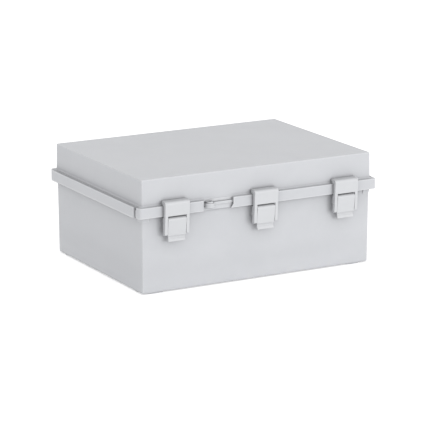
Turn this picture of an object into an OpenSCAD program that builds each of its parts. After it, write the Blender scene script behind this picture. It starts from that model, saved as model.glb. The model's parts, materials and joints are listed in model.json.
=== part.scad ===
// Hinged polycarbonate enclosure: drafted base and lid, sealed seam under a
// skirted rim, three over-centre toggle latches, three rear hinges.
// +X runs along the latch face, -Y faces the latches, +Z is up.
// The origin is the centre of the wall-mount hole pattern, on the foot plane.
// "Out" below is the distance outward from the lid's wall line at the seam.

/* [Box] */
// Length of the lid at its top
lid_l = 400; // [360:1:480]
// Width of the lid at its top
lid_w = 294; // [250:1:360]
// Height of the base from its underside to the seam
base_h = 129.5; // [100:0.5:180]
// Height of the lid above the seam
lid_h = 46; // [30:0.5:80]
// Base wall thickness
base_wall = 3.5; // [2.5:0.1:4.5]
// Base floor thickness
floor_t = 4; // [3:0.1:6]
// Lid wall thickness
lid_wall = 4; // [3.5:0.1:5]
// Lid roof thickness
lid_roof = 4; // [3:0.1:6]
// Draft of the lid walls, in degrees
lid_draft = 1; // [0.2:0.05:2]
// Draft of the base walls, in degrees
base_draft = 0.54; // [0.2:0.02:1.2]
// Outside corner radius of the walls
wall_r = 3; // [3:0.1:6]
// Rounding of the lid's top edge
lid_edge_r = 1.6; // [0.8:0.1:1.8]
// Rounding of the base's bottom edge
base_edge_r = 1.2; // [0.6:0.1:1.4]

/* [Seam] */
// How far the base wall stands inside the lid's wall line
base_step = 1.1; // [0.6:0.1:2]
// Gap between lid and base at the seam
seam_gap = 0.2; // [0.1:0.05:0.4]
// Reach of the lid's rim beyond the wall line
rim_reach = 6.5; // [6:0.1:9]
// Thickness of the lid's rim plate
rim_t = 4.7; // [4.5:0.1:7]
// Outside corner radius of the rim
rim_r = 4; // [4:0.1:10]
// Thickness of the skirt under the rim
skirt_t = 2.5; // [2:0.1:3]
// How far the skirt hangs below the seam
skirt_drop = 11.6; // [8:0.1:14]
// Running gap between the skirt and the base's rim
skirt_gap = 0.6; // [0.4:0.1:0.8]
// Thickness of the base's rim
base_rim_t = 4; // [3:0.1:5]
// Radius of the fillet at the foot of the lid's wall
foot_r = 2.8; // [1.5:0.1:3]
// Width of the gasket
gasket_w = 4; // [3:0.1:4.4]
// Height of the gasket
gasket_h = 2.5; // [2:0.1:3]
// Height of the bead that the gasket rests on
bead_h = 0.5; // [0.3:0.05:0.8]

/* [Side rails] */
// Thickness of the clip-on rail
rail_t = 2.8; // [2:0.1:3.2]
// Distance of the rail's front end from the front wall line
rail_front = 9.2; // [8:0.1:30]
// Distance of the rail's rear end from the rear wall line
rail_rear = 1.8; // [1.2:0.1:20]
// Width of the pry notch at the rail's front end
notch_w = 4.4; // [3:0.1:6]

/* [Latches] */
// Distance of the outer latches from the lid's ends
latch_end = 52; // [40:1:80]
// Sideways shift of the whole row of latches
latch_shift = 0.8; // [-4:0.1:4]
// Extra sideways offset of the middle latch
latch_mid_x = 5; // [0:1:20]
// Width of a latch
latch_w = 41; // [38:0.5:60]
// Reach of the latch face at its top
latch_reach = 14.5; // [14.5:0.1:20]
// Height of the latch above the rim
latch_rise = 7.4; // [6.6:0.1:10]
// Width of a latch rail, seen from the front
latch_rail_w = 4.7; // [4.5:0.1:8]
// Play between latch pieces side by side
latch_play = 0.4; // [0.3:0.05:0.6]
// Diameter of the latch pins
latch_pin_d = 3; // [2.5:0.1:3.5]
// Radial running clearance of the latch and hinge pins
pin_play = 0.05; // [0.02:0.01:0.08]

/* [Seal eye] */
// Distance of the seal eye left of the middle
eye_x = 88.5; // [84:0.5:92]
// Diameter of the seal wire holes
eye_d = 4.4; // [3:0.1:5]
// Radius of the ear on the base
ear_r = 7.8; // [7:0.1:9]
// Thickness of the ear on the base
ear_t = 6.2; // [4:0.1:8]
// Thickness of the lid's seal tab
tab_t = 2.3; // [2:0.1:4.5]

/* [Hinges] */
// Distance of the outer hinges from the lid's ends
hinge_end = 52; // [40:1:90]
// Width of a hinge
hinge_w = 41; // [36:0.5:60]
// Diameter of the hinge pins
hinge_pin_d = 4; // [3:0.1:5]
// Outside diameter of the hinge knuckles
knuckle_d = 9; // [8:0.1:10]
// Diameter of the hinge screws
screw_d = 4; // [3:0.1:5]

/* [Mounting] */
// Distance of the wall-mount holes from the short sides
mount_in_x = 26; // [25:1:60]
// Distance of the wall-mount holes from the long sides
mount_in_y = 25; // [24:1:60]
// Diameter of the wall-mount holes
mount_d = 7; // [5:0.1:9]
// Diameter of the round feet
foot_d = 46; // [30:0.5:48]
// Height of the round feet
foot_h = 1.5; // [1:0.1:4]
// Distance of the panel bosses from the short sides
panel_in_x = 50; // [44:1:80]
// Distance of the panel bosses from the long sides
panel_in_y = 47; // [42:1:80]
// Height of the panel bosses above the floor
boss_h = 14; // [10:0.5:40]
// Outside diameter of the panel bosses
boss_d = 13; // [11:0.1:18]
// Outside diameter of the brass inserts
insert_d = 6.4; // [5.6:0.1:7]
// Thread bore of the brass inserts
insert_bore_d = 4; // [3:0.1:4.4]
// Length of the brass inserts
insert_l = 8; // [6:0.1:9]

/* [Hidden] */
$fn = 64;

shell_grey = [0.83, 0.84, 0.86];
latch_grey = [0.86, 0.87, 0.88];
gasket_black = [0.16, 0.16, 0.17];
steel = [0.72, 0.73, 0.75];
brass = [0.80, 0.66, 0.36];

eps = 0.01;           // overcut that keeps cutting faces apart
cut = 1;              // how far cutters run past a face

// Heights
z_floor = foot_h + floor_t;
z_seam = foot_h + base_h;
z_rim = z_seam + rim_t;
z_top = z_seam + lid_h;
z_skirt = z_seam - skirt_drop;

// Wall lines at the seam
hx = lid_l / 2 + lid_h * tan(lid_draft);
hy = lid_w / 2 + lid_h * tan(lid_draft);
base_grow = base_h * tan(base_draft);

// Base rim, and the lip that carries each side rail
base_rim_out = rim_reach - skirt_t - skirt_gap;
lip_out = rim_reach - skirt_gap;
lip_t = 2.3;
lip_drop = skirt_drop - 1.5;
ring_in = lid_wall + 2.5;
gasket_out = 0.6;     // outer edge of the gasket groove
gasket_play = 0.1;
gasket_r = max(0.6, wall_r + gasket_out - gasket_w);
rail_y0 = -hy + rail_front;
rail_y1 = hy - rail_rear;
rail_fit = 0.2;
lid_side_out = lip_out - 0.5;

// Latch mechanism: places are [out, z]
pin_r = latch_pin_d / 2;
barrel_r = 5.4;
latch_inner = latch_w / 2 - latch_rail_w;
lever_half = latch_inner - latch_play;
side_t = 2;
tab_half = lever_half - 1.3;
lug_x0 = latch_inner - 0.1;
lug_x1 = latch_w / 2 - side_t - latch_play;
lever_pivot = [rim_reach + 1.6, z_skirt - barrel_r - 0.5];
hook_pivot = [rim_reach + 2.4, lever_pivot[1] - 18.6];
face_lean = 3;        // degrees that the latch face leans in
z_latch = z_rim + latch_rise;
z_slot = lever_pivot[1] + barrel_r + 1.5;
z_rail_end = hook_pivot[1] - 4.4;
lid_grip = 0.25;      // gap between the hook and the rim
front_t = 1.8;
function face_out(z) = latch_reach - (z_latch - 2 - z) * tan(face_lean);

// Hinge: the axis lies below and outside the skirt, so that the lid swings clear
hinge_axis = [rim_reach + 7, z_skirt - 5];
hinge_pin_r = hinge_pin_d / 2;
knuckle_r = knuckle_d / 2;
leaf_t = 2.6;
knuckle_half = 8;
knuckle_gap = 0.4;
pad_out = rim_reach - 1.5;
pad_h = 28;
leaf_play = 0.1;
screw_x = 12;
z_base_screw = hinge_axis[1] - 15;
lid_screw_out = 4.2;
screw_head_d = screw_d * 1.8;
screw_head_h = screw_d * 0.5;
base_screw_l = pad_out;
lid_screw_l = rim_t - 0.8;

function latch_at(i) = latch_shift + [latch_end - lid_l / 2, latch_mid_x, lid_l / 2 - latch_end][i];
function hinge_at(i) = [hinge_end - lid_l / 2, 0, lid_l / 2 - hinge_end][i];
mount_x = lid_l - 2 * mount_in_x;
mount_y = lid_w - 2 * mount_in_y;
panel_x = lid_l - 2 * panel_in_x;
panel_y = lid_w - 2 * panel_in_y;
recess_x0 = -eye_x - 7.8;
recess_x1 = -eye_x + 41;
seal_out = base_rim_out + eye_d / 2 + 0.4;     // place of the seal holes, clear of the base's rim
lug_r = pin_r + 1.3;

// Points on an arc from angle a0 to a1, in degrees
function arc(c, r, a0, a1, n = 8) = [for (i = [0:n]) let (a = a0 + (a1 - a0) * i / n) c + r * [cos(a), sin(a)]];

// ---- placing profiles -------------------------------------------------

// Extrude a profile drawn as [out, z] along the front, rear or right side
module front(x0, x1)
    translate([x0, -hy, 0]) mirror([0, 1, 0]) rotate([90, 0, 90]) linear_extrude(x1 - x0) children();
module rear(x0, x1)
    translate([x0, hy, 0]) rotate([90, 0, 90]) linear_extrude(x1 - x0) children();
module right(y0, y1)
    translate([hx, y1, 0]) rotate([90, 0, 0]) linear_extrude(y1 - y0) children();

module both_sides() {
    children();
    mirror([1, 0, 0]) children();
}

module both_ends() {
    children();
    mirror([0, 1, 0]) children();
}

module corners(x, y)
    for (sx = [-1, 1], sy = [-1, 1]) translate([sx * x, sy * y, 0]) children();

// Rounded rectangle, out from the wall line by o
module outline(o, r) {
    x = hx + o;
    y = hy + o;
    square([2 * x, 2 * (y - r)], center = true);
    square([2 * (x - r), 2 * y], center = true);
    corners(x - r, y - r) circle(r);
}

// Prism between two heights
module slab(z0, z1) translate([0, 0, z0]) linear_extrude(z1 - z0) children();

// Box with drafted walls: half sizes and corner radius are those at z0, and
// each wall moves out by grow on the way to z1. Edge radii round both ends.
module drafted_box(half_l, half_w, r, z0, z1, grow, edge0, edge1) {
    steps = 5;
    low = [for (i = [0:steps]) let (a = 90 * i / steps)
        [r - edge0 * (1 - sin(a)), z0 + edge0 * (1 - cos(a))]];
    high = [for (i = [0:steps]) let (a = 90 * i / steps)
        [r + grow - edge1 * (1 - cos(a)), z1 - edge1 * (1 - sin(a))]];
    hull() corners(half_l - r, half_w - r)
        rotate_extrude($fn = 32) polygon(concat([[0, z0]], low, high, [[0, z1]]));
}

// ---- base -------------------------------------------------------------

module base_body() {
    x0 = hx - base_step - base_grow;
    y0 = hy - base_step - base_grow;
    difference() {
        drafted_box(x0, y0, wall_r - base_grow, foot_h, z_seam, base_grow, base_edge_r, 0);
        drafted_box(x0 - base_wall, y0 - base_wall, 3, z_floor, z_seam + cut, base_grow, 2.5, 0);
    }
}

// Flat rim with the bead that presses into the gasket
module base_rim() {
    difference() {
        slab(z_seam - base_rim_t, z_seam) outline(base_rim_out, rim_r - skirt_t - 0.3);
        slab(z_seam - base_rim_t - cut, z_seam + cut) outline(-base_step - base_wall, 3);
    }
    bead_mid = gasket_out - gasket_w / 2;
    difference() {
        slab(z_seam - 1, z_seam + seam_gap + bead_h - 0.05) outline(bead_mid + 0.7, wall_r - 0.7);
        slab(z_seam - 1 - cut, z_seam + cut) outline(bead_mid - 0.7, wall_r - 2.1);
    }
}

// Lip along each short side, which the rail clips over
module rail_lip()
    both_sides() right(rail_y0 - notch_w + 0.8, rail_y1) difference() {
        translate([-base_step - 1, z_seam - lip_drop])
            square([lip_out + base_step + 1, lip_drop]);
        translate([-base_step - 1 - cut, z_seam - lip_drop - cut])
            square([lip_out - lip_t + base_step + 1 + cut, lip_drop - base_rim_t + cut]);
    }

// Corbel that carries the rim round each corner
module corner_corbels() {
    drop = skirt_drop - base_rim_t + 8;
    out = base_rim_out + base_step - 0.6;
    reach = 12;
    r = wall_r;
    side = [[r - 1.5, 0], [r, 0], [r + out, drop], [r - 1.5, drop]];
    both_sides() both_ends() translate([hx - base_step - r, hy - base_step - r, z_seam - base_rim_t - drop]) {
        rotate_extrude(angle = 90) polygon(side);
        rotate([90, 0, 0]) linear_extrude(reach - r) polygon(side);
        translate([-(reach - r), 0, 0]) rotate([90, 0, 90]) linear_extrude(reach - r) polygon(side);
    }
}

// One pair of lugs for a latch lever
module latch_lugs(x)
    for (s = [-1, 1]) front(x + s * (lug_x0 + lug_x1) / 2 - (lug_x1 - lug_x0) / 2, x + s * (lug_x0 + lug_x1) / 2 + (lug_x1 - lug_x0) / 2)
        difference() {
            union() {
                translate(lever_pivot) circle(lug_r);
                polygon([
                    [-base_step - 1.5, lever_pivot[1] + lug_r],
                    [lever_pivot[0], lever_pivot[1] + lug_r],
                    [lever_pivot[0], lever_pivot[1] - lug_r],
                    [lever_pivot[0] - 3, lever_pivot[1] - lug_r],
                    [-base_step - 1.5, lever_pivot[1] - 14]
                ]);
            }
            translate(lever_pivot) circle(pin_r + 0.01);
        }

// Ear on the rim for a seal wire or padlock, and the pad that fills the
// lid's recess below it
module base_ear() {
    difference() {
        translate([-eye_x + 0.5, -hy, z_seam - ear_t]) linear_extrude(ear_t) union() {
            translate([0, -4]) circle(ear_r);
            translate([-ear_r, -4]) square([2 * ear_r, 5]);
        }
        translate([-eye_x, -hy - seal_out, z_seam - ear_t - cut]) cylinder(d = eye_d, h = ear_t + 2 * cut);
    }
    front(recess_x0 - 6, recess_x1 + 6) polygon([
        [-base_step - 1.5, z_seam - base_rim_t + eps],
        [base_rim_out - 0.7, z_seam - base_rim_t + eps],
        [base_rim_out - 0.7, z_skirt + 1.2],
        [base_rim_out - 1.1, z_skirt + 0.6],
        [-base_step - 1.5, z_skirt - 3]
    ]);
}

// Pads on the rear wall that carry the hinges
module hinge_pad(x)
    difference() {
        rear(x - hinge_w / 2, x + hinge_w / 2) polygon([
            [-base_step - 1.5, hinge_axis[1] - 1],
            [pad_out, hinge_axis[1] - 1],
            [pad_out, hinge_axis[1] - pad_h],
            [-base_step - 1.5, hinge_axis[1] - pad_h - 7]
        ]);
        for (s = [-1, 1]) translate([x + s * screw_x, hy + pad_out - base_screw_l - 0.6, z_base_screw])
            rotate([-90, 0, 0]) cylinder(d = screw_d + 0.02, h = base_screw_l + 0.6 + cut);
    }

// Boss with its stiffening ribs, bored for a brass insert
module panel_boss() {
    difference() {
        union() {
            translate([0, 0, z_floor - 1]) cylinder(d = boss_d, h = boss_h + 1);
            for (a = [0, 90, 180, 270]) rotate([90, 0, a]) translate([0, 0, -1]) linear_extrude(2)
                polygon([[0, z_floor - 1], [boss_d / 2 + 7, z_floor - 1], [boss_d / 2 - 1, z_floor + boss_h - 3], [0, z_floor + boss_h - 3]]);
        }
        translate([0, 0, z_floor + boss_h - insert_l - 1]) cylinder(d = insert_d + 0.02, h = insert_l + 1 + cut);
    }
}

module base_shell()
    color(shell_grey) difference() {
        union() {
            base_body();
            base_rim();
            rail_lip();
            corner_corbels();
            base_ear();
            for (i = [0:2]) {
                latch_lugs(latch_at(i));
                hinge_pad(hinge_at(i));
            }
            corners(mount_x / 2, mount_y / 2) cylinder(d = foot_d, h = foot_h + 1);
            corners(panel_x / 2, panel_y / 2) panel_boss();
        }
        corners(mount_x / 2, mount_y / 2) translate([0, 0, -cut]) cylinder(d = mount_d, h = z_floor + 2 * cut);
    }

// ---- lid --------------------------------------------------------------

module lid_body() {
    z0 = z_seam + seam_gap;
    drop = (z_top - z0) * tan(lid_draft);
    difference() {
        drafted_box(lid_l / 2 + drop, lid_w / 2 + drop, wall_r, z0, z_top, -drop, 0, lid_edge_r);
        drafted_box(hx - lid_wall, hy - lid_wall, 3.4, z_seam - cut, z_top - lid_roof, -lid_h * tan(lid_draft), 0, 2);
    }
}

// Concave fillet between the rim plate and the lid's wall
module lid_foot() {
    o = -(rim_t + foot_r) * tan(lid_draft) - 0.05;
    side = concat([[o - 1.5, z_rim - 1], [foot_r + o, z_rim - 1]],
        arc([foot_r + o, z_rim + foot_r], foot_r, 270, 180), [[o - 1.5, z_rim + foot_r]]);
    moved = [for (p = side) [p[0] + wall_r, p[1]]];
    front(-hx + wall_r, hx - wall_r) polygon(side);
    rear(-hx + wall_r, hx - wall_r) polygon(side);
    both_sides() right(-hy + wall_r, hy - wall_r) polygon(side);
    both_sides() both_ends() translate([hx - wall_r, hy - wall_r, 0]) rotate_extrude(angle = 90) polygon(moved);
}

module lid_rim()
    difference() {
        union() {
            lid_foot();
            slab(z_seam + seam_gap, z_rim) outline(rim_reach, rim_r);
            difference() {
                slab(z_skirt, z_seam + 1) outline(rim_reach, rim_r);
                slab(z_skirt - cut, z_seam + seam_gap) outline(rim_reach - skirt_t, rim_r - skirt_t);
            }
        }
        slab(z_seam - cut, z_rim + cut) outline(-ring_in, 3);
    }

// Room along each short side for the rail, and the notch at its front end
module rail_room()
    both_sides() {
        right(rail_y0, rail_y1 + 0.6) {
            translate([lid_side_out, z_skirt - cut]) square([20, z_rim - z_skirt + 2 * cut]);
            translate([base_rim_out + 0.3, z_skirt - cut]) square([20, skirt_drop + seam_gap + cut]);
        }
        right(rail_y0 - notch_w, rail_y0 + eps) translate([0.8, z_skirt - cut]) square([20, z_rim - z_skirt + 2 * cut]);
    }

// Recess in the rim, where the seal tab is reached
module eye_recess() {
    translate([0, -hy - 1.2, 0]) rotate([90, 0, 0]) linear_extrude(20) polygon([
        [recess_x0, z_skirt - cut], [recess_x1 - 5, z_skirt - cut], [recess_x1, z_skirt + 6],
        [recess_x1, z_rim + foot_r + cut], [recess_x0, z_rim + foot_r + cut]
    ]);
    // rounded end of the skirt, left of the recess
    translate([recess_x0, -hy - rim_reach, z_skirt - cut]) linear_extrude(z_rim - z_skirt + 2 * cut) difference() {
        translate([-5, -1]) square([5 + eps, 6]);
        translate([-5, 5]) circle(5);
    }
}

// Rounded tab on the lid, right above the base's ear and bored in line with it
module seal_tab()
    difference() {
        translate([-eye_x, -hy, z_seam + seam_gap]) linear_extrude(tab_t) union() {
            translate([0, -seal_out]) circle(eye_d / 2 + 3);
            translate([-eye_d / 2 - 3, -seal_out]) square([eye_d + 6, seal_out]);
        }
        translate([-eye_x, -hy - seal_out, z_seam]) cylinder(d = eye_d, h = tab_t + 2);
    }

module lid_shell()
    color(shell_grey) difference() {
        union() {
            lid_body();
            difference() {
                lid_rim();
                rail_room();
                eye_recess();
            }
            seal_tab();
        }
        difference() {
            slab(z_seam - cut, z_seam + seam_gap + bead_h + gasket_h) outline(gasket_out, wall_r + gasket_out);
            slab(z_seam - 2 * cut, z_rim) outline(gasket_out - gasket_w, gasket_r);
        }
        for (i = [0:2], s = [-1, 1]) translate([hinge_at(i) + s * screw_x, hy + lid_screw_out, z_rim - lid_screw_l])
            cylinder(d = screw_d + 0.02, h = lid_screw_l + cut);
    }

module lid_gasket()
    color(gasket_black) difference() {
        slab(z_seam + seam_gap + bead_h, z_seam + seam_gap + bead_h + gasket_h)
            outline(gasket_out - gasket_play, wall_r + gasket_out - gasket_play);
        slab(z_seam, z_rim)
            outline(gasket_out - gasket_w + gasket_play, gasket_r + gasket_play);
    }

// ---- side rails -------------------------------------------------------

// Clip-on strip in [out, z], with its front end rounded upright
module rail()
    difference() {
        rail_strip();
        translate([hx + lip_out + rail_fit + rail_t - 1.4, rail_y0 + 1.4, z_skirt - 2]) linear_extrude(z_rim - z_skirt + 3) difference() {
            translate([0, -2.4]) square(2.4);
            circle(1.4);
        }
    }

module rail_strip()
    right(rail_y0, rail_y1) difference() {
        x0 = lip_out - lip_t - 1.2;
        z0 = z_skirt - 0.8;
        x1 = lip_out + rail_fit + rail_t;
        z1 = z_rim - 0.2;
        translate([x0, z0]) union() {
            square([x1 - x0, z1 - z0 - 0.8]);
            square([x1 - x0 - 0.8, z1 - z0]);
            translate([x1 - x0 - 0.8, z1 - z0 - 0.8]) circle(0.8, $fn = 24);
        }
        // bay for the lip, open above the hooked inner leg
        translate([x0 + 1, z_seam - lip_drop - rail_fit]) square([lip_t + 2 * rail_fit, z1]);
        translate([x0 - cut, z_seam - lip_drop + 2.4]) square([lip_out + rail_fit - x0 + cut, z1]);
        translate([x1 - 0.6, z0]) rotate(-45) square([2, 0.9], center = true);
    }

module side_rail_right() color(shell_grey) rail();
module side_rail_left() color(shell_grey) mirror([1, 0, 0]) rail();

// ---- latches ----------------------------------------------------------

// Outside form of the hook in [out, z]: nose over the rim, crowned shoulder,
// leaning face, rounded foot
module hook_form() {
    r = 4;
    nose = 1.2;
    back = rim_reach + 1.1;
    rail_back = hook_pivot[0] - pin_r - 1.4;
    polygon(concat(
        [[back, z_rim + lid_grip], [foot_r + 0.2, z_rim + lid_grip], [nose, z_rim + 1.9]],
        arc([nose + 1, z_latch - 1], 1, 180, 95, 4),
        arc([face_out(z_latch - r - 0.8) - r, z_latch - r - 0.8], r, 84, -3, 10),
        arc([face_out(z_rail_end + 3) - 3, z_rail_end + 3], 3, -3, -90),
        [[rail_back + 1.5, z_rail_end], [rail_back, z_rail_end + 1.5], [rail_back, z_skirt - 3], [back, z_skirt - 1.4]]
    ));
}

module latch_hook(x)
    difference() {
        front(x - latch_w / 2, x + latch_w / 2) hook_form();
        // hollow under the shoulder, behind the face plate
        front(x - latch_w / 2 + side_t, x + latch_w / 2 - side_t) polygon([
            [4.2, z_rim - cut],
            [4.2, z_latch - 3.4],
            [face_out(z_latch - 6) - 4, z_latch - 3.8],
            [face_out(z_latch - 6) - 2.2, z_latch - 6],
            [face_out(z_slot) - 2.2, z_slot],
            [face_out(z_slot) - front_t - 0.6, z_slot - cut],
            [0, z_slot - cut]
        ]);
        // room behind the rails for the base's lugs
        front(x - latch_w / 2 + side_t, x + latch_w / 2 - side_t) polygon([
            [0, z_slot + eps],
            [face_out(z_slot) - front_t, z_slot + eps],
            [face_out(z_rail_end + 3) - front_t, z_rail_end + 3],
            [face_out(z_rail_end + 3) - front_t - 1.5, z_rail_end - cut],
            [0, z_rail_end - cut]
        ]);
        // window for the lever
        front(x - latch_inner, x + latch_inner) translate([0, z_rail_end - cut]) square([40, z_slot - z_rail_end + cut]);
        // seats of the hook pin
        front(x - latch_w / 2 + 0.7, x + latch_w / 2 - 0.7) translate(hook_pivot) circle(pin_r + 0.01);
    }

// Lever: round barrel, panel that leans in, and a finger tab that dips under
// the panel and flares out again
module latch_lever(x) {
    face = lever_pivot[0] + barrel_r;
    low = [hook_pivot[0] + 2.3, hook_pivot[1] - 4];
    dip = low + [1.9, -4.2];
    tip = low + [-1.25, -9.35];
    t = 2.3;
    difference() {
        union() {
            front(x - lever_half, x + lever_half) {
                translate(lever_pivot) circle(barrel_r);
                translate(hook_pivot) circle(pin_r + 1.1);
                polygon(concat([[face - t, lever_pivot[1]], [face, lever_pivot[1]]],
                    arc(low - [1.4, 0], 1.4, 0, -75, 5), [[low[0] - t - 0.4, low[1] - 0.9]]));
            }
            front(x - tab_half, x + tab_half) polygon(concat(
                [low + [-t, 2], low + [-0.3, 0.5], low + [-0.45, -0.9]],
                arc(dip, 3.8, 140, 215), arc(tip, 1.15, 0, -180), arc(dip, 3.8 + t, 201, 150)
            ));
            // stiffening webs behind the panel
            for (s = [-1, 1]) front(x + s * 8 - 0.9, x + s * 8 + 0.9) polygon([
                [lever_pivot[0] - 2, lever_pivot[1]], [face - 1, lever_pivot[1]],
                [hook_pivot[0] + 1, hook_pivot[1]], [hook_pivot[0] - 2, hook_pivot[1]]
            ]);
        }
        front(x - lever_half - cut, x + lever_half + cut) {
            translate(lever_pivot) circle(pin_r + pin_play);
            translate(hook_pivot) circle(pin_r + pin_play);
        }
    }
}

module lever_pin(x) front(x - lug_x1, x + lug_x1) translate(lever_pivot) circle(pin_r);
module hook_pin(x) front(x - latch_w / 2 + 0.8, x + latch_w / 2 - 0.8) translate(hook_pivot) circle(pin_r);

module latch_left_hook() color(latch_grey) latch_hook(latch_at(0));
module latch_left_lever() color(latch_grey) latch_lever(latch_at(0));
module latch_left_lever_pin() color(steel) lever_pin(latch_at(0));
module latch_left_hook_pin() color(steel) hook_pin(latch_at(0));
module latch_mid_hook() color(latch_grey) latch_hook(latch_at(1));
module latch_mid_lever() color(latch_grey) latch_lever(latch_at(1));
module latch_mid_lever_pin() color(steel) lever_pin(latch_at(1));
module latch_mid_hook_pin() color(steel) hook_pin(latch_at(1));
module latch_right_hook() color(latch_grey) latch_hook(latch_at(2));
module latch_right_lever() color(latch_grey) latch_lever(latch_at(2));
module latch_right_lever_pin() color(steel) lever_pin(latch_at(2));
module latch_right_hook_pin() color(steel) hook_pin(latch_at(2));

// ---- hinges -----------------------------------------------------------

// Leaf screwed to the pad on the base, with two knuckles
module hinge_base_leaf(x) {
    plate_in = pad_out + leaf_play;
    plate_out = plate_in + leaf_t;
    difference() {
        union() {
            rear(x - hinge_w / 2, x + hinge_w / 2) translate([plate_in, hinge_axis[1] - pad_h])
                square([leaf_t, pad_h - 1]);
            for (s = [-1, 1]) {
                c = x + s * (knuckle_half + knuckle_gap + hinge_w / 2) / 2;
                h = (hinge_w / 2 - knuckle_half - knuckle_gap) / 2;
                rear(c - h, c + h) {
                    translate(hinge_axis) circle(knuckle_r);
                    polygon([
                        [plate_in, hinge_axis[1] - 1], [plate_in, hinge_axis[1] - 10], [plate_out, hinge_axis[1] - 10],
                        [hinge_axis[0] + knuckle_r * sin(40), hinge_axis[1] - knuckle_r * cos(40)],
                        [hinge_axis[0], hinge_axis[1]], [hinge_axis[0] - knuckle_r * 0.8, hinge_axis[1] - 1]
                    ]);
                }
            }
        }
        rear(x - hinge_w, x + hinge_w) translate(hinge_axis) circle(hinge_pin_r + 0.01);
        for (s = [-1, 1]) translate([x + s * screw_x, hy, z_base_screw])
            rotate([-90, 0, 0]) cylinder(d = screw_d + 0.4, h = 20);
    }
}

// Leaf that caps the lid's rim, with one knuckle between the base's two
module hinge_lid_leaf(x) {
    plate_in = rim_reach + leaf_play;
    plate_out = plate_in + leaf_t;
    cap = 2.3;
    difference() {
        union() {
            rear(x - hinge_w / 2, x + hinge_w / 2) polygon(concat(
                [[foot_r + 0.1, z_rim], [plate_in, z_rim], [plate_in, z_skirt + 1], [plate_out, z_skirt + 1]],
                arc([plate_out - cap, z_rim], cap, 0, 90, 6), [[1.4, z_rim + cap], [1.4, z_rim + 1.3]]
            ));
            rear(x - knuckle_half, x + knuckle_half) {
                translate(hinge_axis) circle(knuckle_r);
                polygon([
                    [plate_in, z_skirt + 12], [plate_in, z_skirt + 1], [hinge_axis[0] - knuckle_r, hinge_axis[1]],
                    [hinge_axis[0] + knuckle_r, hinge_axis[1]], [hinge_axis[0] + knuckle_r * 0.9, hinge_axis[1] + 3],
                    [plate_out, z_skirt + 14]
                ]);
            }
        }
        rear(x - hinge_w, x + hinge_w) translate(hinge_axis) circle(hinge_pin_r + pin_play);
        for (s = [-1, 1]) translate([x + s * screw_x, hy + lid_screw_out, z_rim - cut])
            cylinder(d = screw_d + 0.4, h = 10);
    }
}

module hinge_pin(x) rear(x - hinge_w / 2 + 0.5, x + hinge_w / 2 - 0.5) translate(hinge_axis) circle(hinge_pin_r);

// Pan-head screw pointing down from the origin plane, with a cross slot
module pan_screw(length) {
    difference() {
        rotate_extrude() polygon(concat([[0, -length], [screw_d / 2, -length], [screw_d / 2, 0], [screw_head_d / 2, 0]],
            [for (i = [0:4]) let (a = 22.5 * i) [screw_head_d / 2 - screw_head_h * 0.6 * (1 - cos(a)),
                screw_head_h * 0.4 + screw_head_h * 0.6 * sin(a)]], [[0, screw_head_h]]));
        for (a = [0, 90]) rotate(a) translate([-screw_d * 0.5, -0.4, screw_head_h * 0.3]) cube([screw_d, 0.8, screw_head_h]);
    }
}

module hinge_left_base_leaf() color(latch_grey) hinge_base_leaf(hinge_at(0));
module hinge_left_lid_leaf() color(latch_grey) hinge_lid_leaf(hinge_at(0));
module hinge_left_pin() color(steel) hinge_pin(hinge_at(0));
module hinge_mid_base_leaf() color(latch_grey) hinge_base_leaf(hinge_at(1));
module hinge_mid_lid_leaf() color(latch_grey) hinge_lid_leaf(hinge_at(1));
module hinge_mid_pin() color(steel) hinge_pin(hinge_at(1));
module hinge_right_base_leaf() color(latch_grey) hinge_base_leaf(hinge_at(2));
module hinge_right_lid_leaf() color(latch_grey) hinge_lid_leaf(hinge_at(2));
module hinge_right_pin() color(steel) hinge_pin(hinge_at(2));

module hinge_base_screws()
    color(steel) for (i = [0:2], s = [-1, 1])
        translate([hinge_at(i) + s * screw_x, hy + pad_out + leaf_play + leaf_t, z_base_screw])
            rotate([-90, 0, 0]) pan_screw(base_screw_l - 1 + leaf_t);

module hinge_lid_screws()
    color(steel) for (i = [0:2], s = [-1, 1])
        translate([hinge_at(i) + s * screw_x, hy + lid_screw_out, z_rim + 2.3]) pan_screw(lid_screw_l - 0.2 + 2.3);

// ---- panel inserts ----------------------------------------------------

module panel_inserts()
    color(brass) corners(panel_x / 2, panel_y / 2) translate([0, 0, z_floor + boss_h - insert_l])
        difference() {
            cylinder(d = insert_d, h = insert_l);
            translate([0, 0, -cut]) cylinder(d = insert_bore_d, h = insert_l + 2 * cut);
        }

base_shell();
lid_shell();
lid_gasket();
side_rail_left();
side_rail_right();
latch_left_hook();
latch_left_lever();
latch_left_lever_pin();
latch_left_hook_pin();
latch_mid_hook();
latch_mid_lever();
latch_mid_lever_pin();
latch_mid_hook_pin();
latch_right_hook();
latch_right_lever();
latch_right_lever_pin();
latch_right_hook_pin();
hinge_left_base_leaf();
hinge_left_lid_leaf();
hinge_left_pin();
hinge_mid_base_leaf();
hinge_mid_lid_leaf();
hinge_mid_pin();
hinge_right_base_leaf();
hinge_right_lid_leaf();
hinge_right_pin();
hinge_base_screws();
hinge_lid_screws();
panel_inserts();
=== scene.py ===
import json

import bpy
import numpy as np
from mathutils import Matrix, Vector

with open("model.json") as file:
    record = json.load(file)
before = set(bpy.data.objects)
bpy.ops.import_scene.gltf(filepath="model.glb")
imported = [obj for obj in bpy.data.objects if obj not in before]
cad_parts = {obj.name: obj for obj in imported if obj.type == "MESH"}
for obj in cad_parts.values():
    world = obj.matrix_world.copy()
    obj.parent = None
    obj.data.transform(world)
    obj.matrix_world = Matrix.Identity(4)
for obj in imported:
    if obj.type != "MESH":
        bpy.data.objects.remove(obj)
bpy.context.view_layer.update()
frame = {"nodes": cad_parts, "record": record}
NODES = frame["nodes"]
scene = bpy.context.scene

# Lengths are metres, and colours are linear red, green, blue and alpha.
WHITE = (1, 1, 1, 1)
BLACK = (0, 0, 0, 1)


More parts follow.
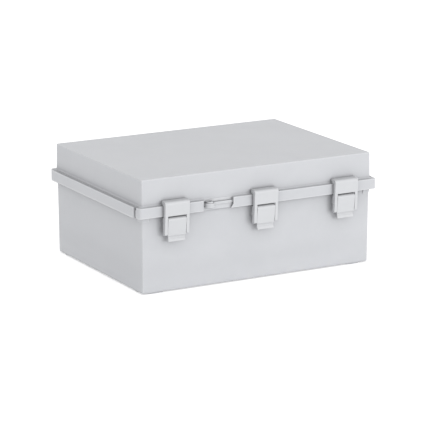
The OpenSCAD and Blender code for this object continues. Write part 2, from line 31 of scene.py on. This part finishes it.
# ---- node-building helpers ----------------------------------------------

FLOAT = "NodeSocketFloat"
COLOR = "NodeSocketColor"
VECTOR = "NodeSocketVector"


def named_tree(name, inputs, outputs):
    """A shader node group with its own named sockets.

    inputs lists (name, type, default) and outputs lists (name, type). Gives the
    tree, the sockets that bring its inputs in, and those that take its outputs.
    """
    tree = bpy.data.node_groups.new(name, "ShaderNodeTree")
    for label, kind, default in inputs:
        socket = tree.interface.new_socket(name=label, in_out="INPUT", socket_type=kind)
        socket.default_value = default
    for label, kind in outputs:
        tree.interface.new_socket(name=label, in_out="OUTPUT", socket_type=kind)
    given = tree.nodes.new("NodeGroupInput").outputs
    result = tree.nodes.new("NodeGroupOutput").inputs
    return tree, given, result


class Wires:
    """Short ways to add and join nodes in one tree."""

    def __init__(self, tree):
        self.tree = tree

    def node(self, kind, **settings):
        made = self.tree.nodes.new("ShaderNode" + kind)
        for key, value in settings.items():
            setattr(made, key, value)
        return made

    def feed(self, socket, value):
        """A socket takes either another socket or a plain value."""
        if isinstance(value, bpy.types.NodeSocket):
            self.tree.links.new(value, socket)
        else:
            socket.default_value = value

    def place(self):
        """Where a point lies on the object, in the piece's own coordinates."""
        return self.node("TexCoord").outputs["Object"]

    def axes(self, vector):
        """The X, Y and Z of a vector, as sockets."""
        made = self.node("SeparateXYZ")
        self.feed(made.inputs["Vector"], vector)
        return made.outputs

    def maths(self, operation, a, b, clamp=False):
        made = self.node("Math", operation=operation, use_clamp=clamp)
        self.feed(made.inputs[0], a)
        self.feed(made.inputs[1], b)
        return made.outputs[0]

    def weighed(self, a, share_a, b, share_b):
        """a and b, added up with a share of each."""
        return self.maths("ADD", self.maths("MULTIPLY", a, share_a),
                          self.maths("MULTIPLY", b, share_b))

    def noise(self, place, scale, detail, roughness, distortion=0.0):
        made = self.node("TexNoise")
        self.feed(made.inputs["Vector"], place)
        self.feed(made.inputs["Scale"], scale)
        made.inputs["Detail"].default_value = detail
        made.inputs["Roughness"].default_value = roughness
        made.inputs["Distortion"].default_value = distortion
        return made.outputs["Fac"]

    def ramp(self, value, low, high, to_low=0.0, to_high=1.0):
        """value from low..high, smoothed, to to_low..to_high."""
        made = self.node("MapRange", interpolation_type="SMOOTHSTEP")
        self.feed(made.inputs["Value"], value)
        self.feed(made.inputs["From Min"], low)
        self.feed(made.inputs["From Max"], high)
        self.feed(made.inputs["To Min"], to_low)
        self.feed(made.inputs["To Max"], to_high)
        return made.outputs["Result"]

    def blend(self, factor, a, b):
        """Colour a where factor is 0, and b where it is 1."""
        made = self.node("Mix", data_type="RGBA")
        self.feed(made.inputs["Factor"], factor)
        self.feed(made.inputs["A"], a)
        self.feed(made.inputs["B"], b)
        return made.outputs["Result"]

    def group(self, tree, **values):
        """One shared effect with this material's own values."""
        made = self.node("Group", node_tree=tree)
        for label, value in values.items():
            self.feed(made.inputs[label], value)
        return made.outputs

    def relief(self, shader, height, strength, depth, normal=None):
        """Bump of the given height on the shader, on top of a normal if there is one."""
        made = self.node("Bump")
        made.inputs["Strength"].default_value = strength
        made.inputs["Distance"].default_value = depth
        self.feed(made.inputs["Height"], height)
        if normal is not None:
            self.feed(made.inputs["Normal"], normal)
        self.feed(shader.inputs["Normal"], made.outputs["Normal"])


# ---- shared effects -----------------------------------------------------

# Scales of noise and cells are in repeats to a metre, and shares add up to 1.

FINE_SHARE, COARSE_SHARE = 0.6, 0.4     # of the two sizes of mould grain
COARSE_SCALE = 0.28                     # of the fine grain's scale
PIT_SCALE = 0.5                         # of the fine grain's scale
PIT_REACH = 0.22                        # from a pit's centre to its edge, in cells


def make_mould_grain():
    """Height of a spark-eroded mould face.

    Height is fine and coarse soft noise, less the depth of sparse pits.
    """
    tree, given, result = named_tree(
        "mould_grain",
        [("Grain", FLOAT, 1500.0), ("Pits", FLOAT, 0.3)],
        [("Height", FLOAT)])
    w = Wires(tree)
    place = w.place()
    grain = given["Grain"]
    fine = w.noise(place, grain, detail=3.0, roughness=0.6)
    coarse = w.noise(place, w.maths("MULTIPLY", grain, COARSE_SCALE), detail=2.0, roughness=0.5)
    cells = w.node("TexVoronoi", feature="F1")
    w.feed(cells.inputs["Vector"], place)
    w.feed(cells.inputs["Scale"], w.maths("MULTIPLY", grain, PIT_SCALE))
    pits = w.ramp(cells.outputs["Distance"], low=0.0, high=PIT_REACH, to_low=1.0, to_high=0.0)
    body = w.weighed(fine, FINE_SHARE, coarse, COARSE_SHARE)
    pitted = w.maths("SUBTRACT", body, w.maths("MULTIPLY", pits, given["Pits"]))
    w.feed(result["Height"], pitted)
    return tree


FLOW_SQUEEZE = (1.0, 1.0, 2.4)          # flow bands lie flat along the walls
BAND_SCALE, CLOUD_SCALE, SPECK_SCALE = 5.0, 38.0, 900.0
BAND_SHARE, CLOUD_SHARE = 0.65, 0.35
PALE_SPECK = (0.86, 0.87, 0.88, 1)


def make_flow_tint():
    """Colour of moulded plastic, between two close greys.

    The tone is slow flow bands plus a faint cloudiness, and fine pale specks lie
    over it. Cloud is also given by itself, for the roughness to follow.
    """
    tree, given, result = named_tree(
        "flow_tint",
        [("Light", COLOR, WHITE), ("Deep", COLOR, BLACK), ("Specks", FLOAT, 0.2)],
        [("Color", COLOR), ("Cloud", FLOAT)])
    w = Wires(tree)
    place = w.place()
    squeezed = w.node("Mapping")
    w.feed(squeezed.inputs["Vector"], place)
    squeezed.inputs["Scale"].default_value = FLOW_SQUEEZE
    bands = w.noise(squeezed.outputs["Vector"], BAND_SCALE,
                    detail=3.0, roughness=0.55, distortion=0.6)
    cloud = w.noise(place, CLOUD_SCALE, detail=4.0, roughness=0.6)
    tone = w.ramp(w.weighed(bands, BAND_SHARE, cloud, CLOUD_SHARE), low=0.32, high=0.68)
    dots = w.noise(place, SPECK_SCALE, detail=1.0, roughness=0.4)
    specks = w.ramp(dots, low=0.70, high=0.78)
    base = w.blend(tone, given["Deep"], given["Light"])
    speckled = w.blend(w.maths("MULTIPLY", specks, given["Specks"]), base, PALE_SPECK)
    w.feed(result["Color"], speckled)
    w.feed(result["Cloud"], cloud)
    return tree


# The edge mask below sets a painted highlight on the plastic's convex edges, which also stands
# for edge wear.
EDGE_RADIUS = 0.0007                    # that a sharp edge's normal rolls over
EDGE_GAIN = 8.0                         # how soon thin material counts as an edge
HIGHLIGHT_AND_WEAR_SCALE = 160.0
LEAST_HIGHLIGHT_AND_WEAR = 0.55                       # where the noise breaks up the painted edge highlight and the edge wear
ROLL_SAMPLES, COVER_SAMPLES = 4, 8


def make_rounded_edge():
    """Normal that rolls round sharp edges, and a mask of convex edges and corners.

    Edge is how little material lies within Width behind the surface, times a
    gain, broken up by noise, times the strength of highlight and wear. On the
    plastic, colour that follows the mask is a painted highlight on edges and
    corners that also stands for edge wear.
    """
    tree, given, result = named_tree(
        "rounded_edge",
        [("Wear", FLOAT, 0.5), ("Width", FLOAT, 0.001)],
        [("Normal", VECTOR), ("Edge", FLOAT)])
    w = Wires(tree)
    place = w.place()
    roll = w.node("Bevel", samples=ROLL_SAMPLES)
    roll.inputs["Radius"].default_value = EDGE_RADIUS
    within = w.node("AmbientOcclusion", samples=COVER_SAMPLES, inside=True, only_local=True)
    w.feed(within.inputs["Distance"], given["Width"])
    behind = w.maths("SUBTRACT", 1.0, within.outputs["AO"])
    thin = w.maths("MULTIPLY", behind, EDGE_GAIN, clamp=True)
    rub = w.ramp(w.noise(place, HIGHLIGHT_AND_WEAR_SCALE, detail=4.0, roughness=0.7),
                 low=0.38, high=0.62, to_low=LEAST_HIGHLIGHT_AND_WEAR)
    broken = w.maths("MULTIPLY", thin, rub)
    w.feed(result["Normal"], roll.outputs["Normal"])
    w.feed(result["Edge"], w.maths("MULTIPLY", broken, given["Wear"], clamp=True))
    return tree


SHADE_GAIN = 1.6                        # how soon a part-covered place is full shade


def make_crevice_shade():
    """Mask of gaps and inner corners: Depth far inside them, and 0 in the open.

    It is the share of the view out that other surfaces within Reach cover, times
    a gain, times Depth. Neighbouring pieces count as well as the piece itself.
    """
    tree, given, result = named_tree(
        "crevice_shade",
        [("Reach", FLOAT, 0.01), ("Depth", FLOAT, 0.5)],
        [("Mask", FLOAT)])
    w = Wires(tree)
    cover = w.node("AmbientOcclusion", samples=COVER_SAMPLES, only_local=False)
    w.feed(cover.inputs["Distance"], given["Reach"])
    covered = w.maths("SUBTRACT", 1.0, cover.outputs["AO"])
    hidden = w.maths("MULTIPLY", covered, SHADE_GAIN, clamp=True)
    w.feed(result["Mask"], w.maths("MULTIPLY", hidden, given["Depth"], clamp=True))
    return tree


PATCH_SCALE, GRIT_SCALE = 26.0, 700.0
PATCH_SHARE, GRIT_SHARE = 0.6, 0.4


def make_settled_dust():
    """Mask of thin dust: how far the surface faces up, times soft patches and fine grit."""
    tree, given, result = named_tree(
        "settled_dust",
        [("Amount", FLOAT, 0.3)],
        [("Mask", FLOAT)])
    w = Wires(tree)
    place = w.place()
    up = w.axes(w.node("NewGeometry").outputs["Normal"])["Z"]
    faces_up = w.ramp(up, low=0.55, high=0.98)
    patches = w.ramp(w.noise(place, PATCH_SCALE, detail=5.0, roughness=0.65, distortion=0.4),
                     low=0.40, high=0.72)
    grit = w.ramp(w.noise(place, GRIT_SCALE, detail=2.0, roughness=0.6), low=0.42, high=0.66)
    spread = w.maths("MULTIPLY", faces_up, w.weighed(patches, PATCH_SHARE, grit, GRIT_SHARE))
    w.feed(result["Mask"], w.maths("MULTIPLY", spread, given["Amount"], clamp=True))
    return tree


RING_SCALE, SCRATCH_SCALE = 4200.0, 520.0
SCRATCH_DEPTH = 0.5                     # of the rings' height


def make_tool_marks():
    """Height of turned metal.

    Height is fine rings of uneven depth along X, or along Z where Upright is 1,
    less a few deeper scratches.
    """
    tree, given, result = named_tree(
        "tool_marks",
        [("Upright", FLOAT, 0.0)],
        [("Height", FLOAT)])
    w = Wires(tree)
    place = w.place()
    axes = w.axes(place)
    along = w.node("Mix", data_type="FLOAT")
    w.feed(along.inputs["Factor"], given["Upright"])
    w.feed(along.inputs["A"], axes["X"])
    w.feed(along.inputs["B"], axes["Z"])
    line = w.node("CombineXYZ")
    w.feed(line.inputs["X"], along.outputs["Result"])
    rings = w.noise(line.outputs["Vector"], RING_SCALE, detail=2.0, roughness=0.7)
    tangle = w.noise(place, SCRATCH_SCALE, detail=3.0, roughness=0.8, distortion=1.5)
    scratches = w.ramp(tangle, low=0.60, high=0.66)
    marked = w.maths("SUBTRACT", rings, w.maths("MULTIPLY", scratches, SCRATCH_DEPTH))
    w.feed(result["Height"], marked)
    return tree


mould_grain = make_mould_grain()
flow_tint = make_flow_tint()
rounded_edge = make_rounded_edge()
crevice_shade = make_crevice_shade()
settled_dust = make_settled_dust()
tool_marks = make_tool_marks()


# ---- materials ----------------------------------------------------------

# Lighter colour painted on convex edges: a painted highlight that also stands for rubbed wear.
EDGE_HIGHLIGHT_AND_WEAR = (0.80, 0.81, 0.83, 1)
PLASTIC_DUST = (0.60, 0.59, 0.57, 1)
CORNER_SHADE = (0.30, 0.30, 0.31, 1)
GAP_SHADE = (0.20, 0.20, 0.21, 1)
SPECKS = 0.18
CORNER_REACH = 0.055                    # wide shade, in the corners under rims and rails
CORNER_DEPTH, LEDGE_DEPTH = 0.44, 0.72  # of the wide shade, on walls and on ledges
WALL_LEAN, LEDGE_LEAN = 0.30, 0.95      # how far up the two face, as the normal's Z
SHADE_START, SHADE_FULL = 0.010, 0.060  # heights over which the wide shade sets in
GAP_REACH, GAP_DEPTH = 0.005, 0.40      # narrow shade, in the seams and slots
CLOUD_MATTE = 0.05                      # roughness that the cloudiness adds or takes
EDGE_POLISH = 0.12                      # roughness that a rubbed edge loses
DUST_MATTE = 0.15                       # roughness that dust adds
PLASTIC_RELIEF = 0.00012                # height of the mould grain
PLASTIC_IOR, PLASTIC_SPECULAR = 1.58, 0.42


def blank_material(name):
    material = bpy.data.materials.new(name)
    material.use_nodes = True
    shader = material.node_tree.nodes["Principled BSDF"]
    return material, Wires(material.node_tree), shader


def moulded_plastic(name, light, deep, roughness, grain, bump, pits, highlight_and_wear, width, dust):
    """Polycarbonate from a textured mould.

    Colour is the flow tint, then lighter edges, a painted highlight that also
    stands for rubbed wear, a trace of dust, and painted shade of corners and
    gaps. Walls close to what the box stands on are left out of the wide shade,
    and ledges that face up take more of it.
    """
    material, w, shader = blank_material(name)
    tint = w.group(flow_tint, Light=light, Deep=deep, Specks=SPECKS)
    edge = w.group(rounded_edge, Wear=highlight_and_wear, Width=width)
    film = w.group(settled_dust, Amount=dust)["Mask"]
    # Convex edges are lightened: painted highlight, which also stands for edge wear.
    edge_lit_and_worn = w.blend(edge["Edge"], tint["Color"], EDGE_HIGHLIGHT_AND_WEAR)
    dusted = w.blend(film, edge_lit_and_worn, PLASTIC_DUST)

    off_floor = w.ramp(w.axes(w.place())["Z"], SHADE_START, SHADE_FULL)
    facing = w.axes(w.node("NewGeometry").outputs["Normal"])["Z"]
    lean = w.ramp(facing, WALL_LEAN, LEDGE_LEAN, CORNER_DEPTH, LEDGE_DEPTH)
    wide = w.group(crevice_shade, Reach=CORNER_REACH, Depth=lean)["Mask"]
    corner = w.maths("MULTIPLY", wide, off_floor)
    gap = w.group(crevice_shade, Reach=GAP_REACH, Depth=GAP_DEPTH)["Mask"]
    shaded = w.blend(corner, dusted, CORNER_SHADE)
    w.feed(shader.inputs["Base Color"], w.blend(gap, shaded, GAP_SHADE))

    matte = w.ramp(tint["Cloud"], low=0.3, high=0.7,
                   to_low=roughness - CLOUD_MATTE, to_high=roughness + CLOUD_MATTE)
    polished = w.maths("SUBTRACT", matte, w.maths("MULTIPLY", edge["Edge"], EDGE_POLISH))
    filmed = w.maths("ADD", polished, w.maths("MULTIPLY", film, DUST_MATTE), clamp=True)
    w.feed(shader.inputs["Roughness"], filmed)
    height = w.group(mould_grain, Grain=grain, Pits=pits)["Height"]
    w.relief(shader, height, bump, PLASTIC_RELIEF, normal=edge["Normal"])
    shader.inputs["IOR"].default_value = PLASTIC_IOR
    shader.inputs["Specular IOR Level"].default_value = PLASTIC_SPECULAR
    return material


FOAM_CELLS, FOAM_CLOUDS = 2200.0, 300.0
FOAM_BUMP, FOAM_RELIEF = 0.6, 0.0002
FOAM_GLOSSY, FOAM_MATTE = 0.72, 0.88    # roughness in a cell's middle and at its walls
FOAM_SPECULAR = 0.25
FOAM_FILM = 0.25                        # amount of dust on it
FOAM_DARK = (0.022, 0.022, 0.024, 1)
FOAM_PALE = (0.045, 0.045, 0.047, 1)
FOAM_DUST = (0.25, 0.25, 0.24, 1)


def foamed_rubber():
    """Black foam of the gasket: small soft cells, cloudy and a little dusty."""
    material, w, shader = blank_material("gasket_rubber")
    place = w.place()
    cells = w.node("TexVoronoi", feature="SMOOTH_F1")
    w.feed(cells.inputs["Vector"], place)
    cells.inputs["Scale"].default_value = FOAM_CELLS
    clouds = w.noise(place, FOAM_CLOUDS, detail=4.0, roughness=0.6)
    skin = w.blend(w.ramp(clouds, low=0.3, high=0.7), FOAM_DARK, FOAM_PALE)
    film = w.group(settled_dust, Amount=FOAM_FILM)["Mask"]
    w.feed(shader.inputs["Base Color"], w.blend(film, skin, FOAM_DUST))
    rough = w.ramp(cells.outputs["Distance"], low=0.1, high=0.7,
                   to_low=FOAM_GLOSSY, to_high=FOAM_MATTE)
    w.feed(shader.inputs["Roughness"], rough)
    w.relief(shader, cells.outputs["Distance"], FOAM_BUMP, FOAM_RELIEF)
    shader.inputs["Specular IOR Level"].default_value = FOAM_SPECULAR
    return material


METAL_BUMP, METAL_RELIEF = 0.35, 0.00006
METAL_WEAR = 0.8
STAIN_SCALE = 240.0
STAIN_MATTE = 0.18                      # roughness that a stain adds


def turned_metal(name, bright, dull, roughness, upright):
    """Bare metal: turning rings, dull patches where it has stained, and bright edges."""
    material, w, shader = blank_material(name)
    blots = w.noise(w.place(), STAIN_SCALE, detail=4.0, roughness=0.65)
    stain = w.ramp(blots, low=0.45, high=0.7)
    edge = w.group(rounded_edge, Wear=METAL_WEAR)
    stained = w.blend(stain, bright, dull)
    w.feed(shader.inputs["Base Color"], w.blend(edge["Edge"], stained, bright))
    shader.inputs["Metallic"].default_value = 1.0
    rough = w.ramp(stain, low=0.0, high=1.0,
                   to_low=roughness, to_high=roughness + STAIN_MATTE)
    w.feed(shader.inputs["Roughness"], rough)
    height = w.group(tool_marks, Upright=upright)["Height"]
    w.relief(shader, height, METAL_BUMP, METAL_RELIEF, normal=edge["Normal"])
    return material


FINISHES = {
    "polycarbonate_shell": moulded_plastic(
        "polycarbonate_shell", light=(0.655, 0.665, 0.690, 1), deep=(0.625, 0.636, 0.662, 1),
        roughness=0.46, grain=1500.0, bump=0.35, pits=0.25, highlight_and_wear=0.62, width=0.0018, dust=0.10),
    "polycarbonate_trim": moulded_plastic(
        "polycarbonate_trim", light=(0.695, 0.704, 0.722, 1), deep=(0.668, 0.678, 0.698, 1),
        roughness=0.38, grain=2100.0, bump=0.22, pits=0.15, highlight_and_wear=0.35, width=0.0010, dust=0.08),
    "gasket_rubber": foamed_rubber(),
    "stainless_steel": turned_metal(
        "stainless_steel", bright=(0.62, 0.62, 0.61, 1), dull=(0.44, 0.44, 0.43, 1),
        roughness=0.26, upright=0.0),
    "brass_insert": turned_metal(
        "brass_insert", bright=(0.80, 0.60, 0.28, 1), dull=(0.55, 0.40, 0.18, 1),
        roughness=0.30, upright=1.0),
}

slot_of = {part["node"]: part["material_slot"] for part in frame["record"]["subparts"]}
for node_name, node_object in NODES.items():
    mesh = node_object.data
    mesh.materials.clear()
    mesh.materials.append(FINISHES[slot_of[node_name]])


# ---- studio -------------------------------------------------------------

FLOOR_REACH = 6.0                       # from the middle to each side
FLOOR_STEPS = 8
FLOOR_COLOR = (0.97, 0.97, 0.97, 1)
FLOOR_ROUGHNESS = 0.9
FLOOR_GLOW = 0.42                       # seen by the camera and in gloss, lights nothing
WORLD_LIGHT = 0.80
WORLD_SEEN = 1.0
KEY_PLACE, KEY_AIM = (1.3, -4.0, 0.75), (0, 0, 0.05)
KEY_SIZE = 2.4
KEY_POWER = 48.0                        # watts


def floor_surface(reach, steps):
    """A flat grid at foot level: x and y run from -reach to reach in even steps, and z is 0."""
    line = np.linspace(-reach, reach, steps + 1)
    x, y = np.meshgrid(line, line, indexing="ij")
    points = np.stack([x, y, np.zeros_like(x)], axis=-1).reshape(-1, 3)
    corner = (np.arange(steps)[:, None] * (steps + 1) + np.arange(steps)[None, :]).ravel()
    faces = np.stack([corner, corner + steps + 1, corner + steps + 2, corner + 1], axis=1)
    mesh = bpy.data.meshes.new("studio_floor")
    mesh.from_pydata(points.tolist(), [], faces.tolist())
    floor = bpy.data.objects.new("studio_floor", mesh)
    scene.collection.objects.link(floor)
    return floor


def floor_material():
    """Pale floor that the camera sees as white, with the object's shadow kept."""
    material, w, shader = blank_material("studio_floor")
    shader.inputs["Base Color"].default_value = FLOOR_COLOR
    shader.inputs["Roughness"].default_value = FLOOR_ROUGHNESS
    shader.inputs["Specular IOR Level"].default_value = 0.0
    shader.inputs["Emission Color"].default_value = WHITE
    rays = w.node("LightPath").outputs
    seen = w.maths("MAXIMUM", rays["Is Camera Ray"], rays["Is Glossy Ray"])
    w.feed(shader.inputs["Emission Strength"], w.maths("MULTIPLY", seen, FLOOR_GLOW))
    return material


def white_surrounding():
    """An even white world: it lights at WORLD_LIGHT, and is seen at WORLD_SEEN."""
    world = bpy.data.worlds.new("studio_world")
    scene.world = world
    world.use_nodes = True
    w = Wires(world.node_tree)
    background = world.node_tree.nodes["Background"]
    background.inputs["Color"].default_value = WHITE
    rays = w.node("LightPath").outputs
    seen = w.maths("MAXIMUM", rays["Is Camera Ray"], rays["Is Glossy Ray"])
    shown = w.maths("MAXIMUM", seen, rays["Is Transmission Ray"])
    strength = w.ramp(shown, low=0.0, high=1.0, to_low=WORLD_LIGHT, to_high=WORLD_SEEN)
    w.feed(background.inputs["Strength"], strength)


def soft_lamp(name, place, aim, size, power):
    lamp = bpy.data.lights.new(name, "AREA")
    lamp.shape = "DISK"
    lamp.size = size
    lamp.energy = power
    lit = bpy.data.objects.new(name, lamp)
    scene.collection.objects.link(lit)
    lit.location = place
    lit.rotation_mode = "QUATERNION"
    lit.rotation_quaternion = (Vector(aim) - Vector(place)).to_track_quat("-Z", "Y")
    lit.visible_camera = False


floor = floor_surface(FLOOR_REACH, FLOOR_STEPS)
floor.data.materials.append(floor_material())

white_surrounding()
soft_lamp("key_lamp", KEY_PLACE, KEY_AIM, KEY_SIZE, KEY_POWER)


# ---- camera -------------------------------------------------------------

LENS, SENSOR_WIDTH = 194.6, 36.0        # millimetres
NEAREST, FARTHEST = 0.05, 60.0
CAMERA_AIM = Vector((0.01116, -0.00620, 0.0600))
TOWARDS_CAMERA = Vector((-0.47104, -0.84755, 0.24448)).normalized()
CAMERA_DISTANCE = 3.759

camera_data = bpy.data.cameras.new("studio_camera")
camera_data.sensor_width = SENSOR_WIDTH
camera_data.lens = LENS
camera_data.clip_start = NEAREST
camera_data.clip_end = FARTHEST
camera = bpy.data.objects.new("studio_camera", camera_data)
scene.collection.objects.link(camera)
scene.camera = camera
camera.location = CAMERA_AIM + TOWARDS_CAMERA * CAMERA_DISTANCE
camera.rotation_mode = "QUATERNION"
camera.rotation_quaternion = (-TOWARDS_CAMERA).to_track_quat("-Z", "Y")

scene.view_settings.view_transform = "Standard"
